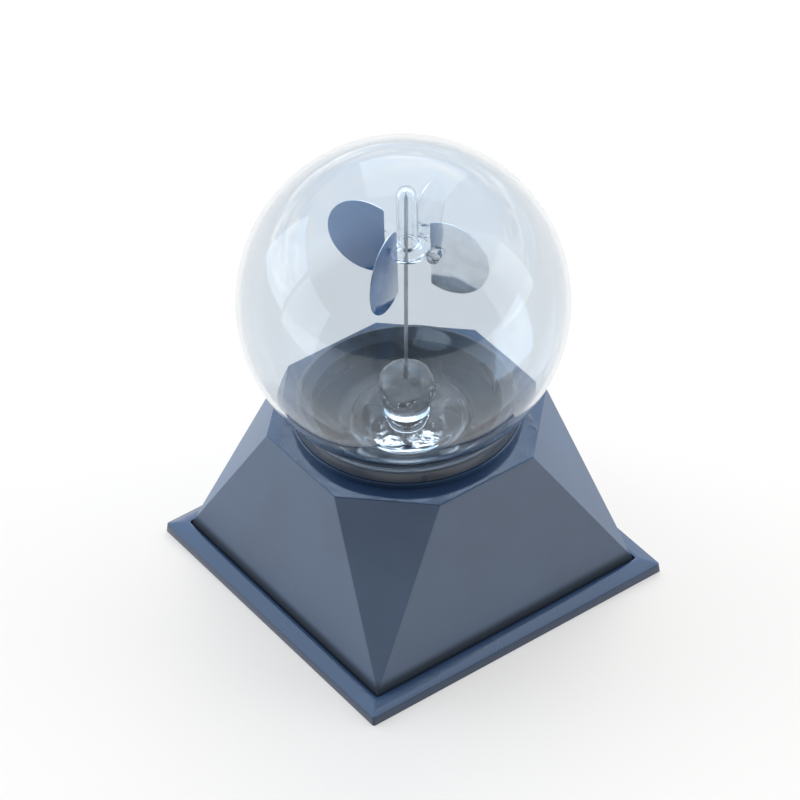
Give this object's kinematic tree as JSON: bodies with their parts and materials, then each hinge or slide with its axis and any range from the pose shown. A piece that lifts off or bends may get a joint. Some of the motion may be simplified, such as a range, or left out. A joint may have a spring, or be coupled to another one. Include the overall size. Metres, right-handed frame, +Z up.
{
  "type": "crookes radiometer",
  "caption": "Light mill: a sealed clear glass bulb with vanes dark on one face turning on a needle, seated in a collar on a facetted pyramid base.",
  "frame": {"origin": "centre of the base's flat underside", "axes": "+Z up along the needle, X and Y along the sides of the square base"},
  "size_m": [0.1, 0.1, 0.1363],
  "materials": {
    "gloss_base": "polished moulded plastic",
    "screw_steel": "zinc plated",
    "shell_plastic": "fine moulded texture, polished top",
    "collar_plastic": "satin",
    "globe_glass": "clear blown glass",
    "stand_glass": "clear fused glass",
    "needle_steel": "drawn wire",
    "rotor_glass": "clear lamp-worked glass",
    "mica": "pearly split mica",
    "dark_coat": "smooth dark lacquer"
  },
  "bodies": {
    "base": {"base_plate": "gloss_base", "base_screws": "screw_steel", "pyramid_shell": "shell_plastic", "seat_collar": "collar_plastic", "glass_globe": "globe_glass", "needle_stand": "stand_glass", "needle": "needle_steel"},
    "rotor": {"rotor_cap": "rotor_glass", "arm_1": "rotor_glass", "arm_2": "rotor_glass", "arm_3": "rotor_glass", "arm_4": "rotor_glass", "vane_1": "mica", "vane_2": "mica", "vane_3": "mica", "vane_4": "mica", "vane_coat_1": "dark_coat", "vane_coat_2": "dark_coat", "vane_coat_3": "dark_coat", "vane_coat_4": "dark_coat"}
  },
  "joints": [
    {"name": "rotor_spin", "type": "hinge", "parent": "base", "child": "rotor", "pos_m": [0.00093, 0.0013, 0.1283], "axis": [0, 0, 1], "continuous": true}
  ]
}
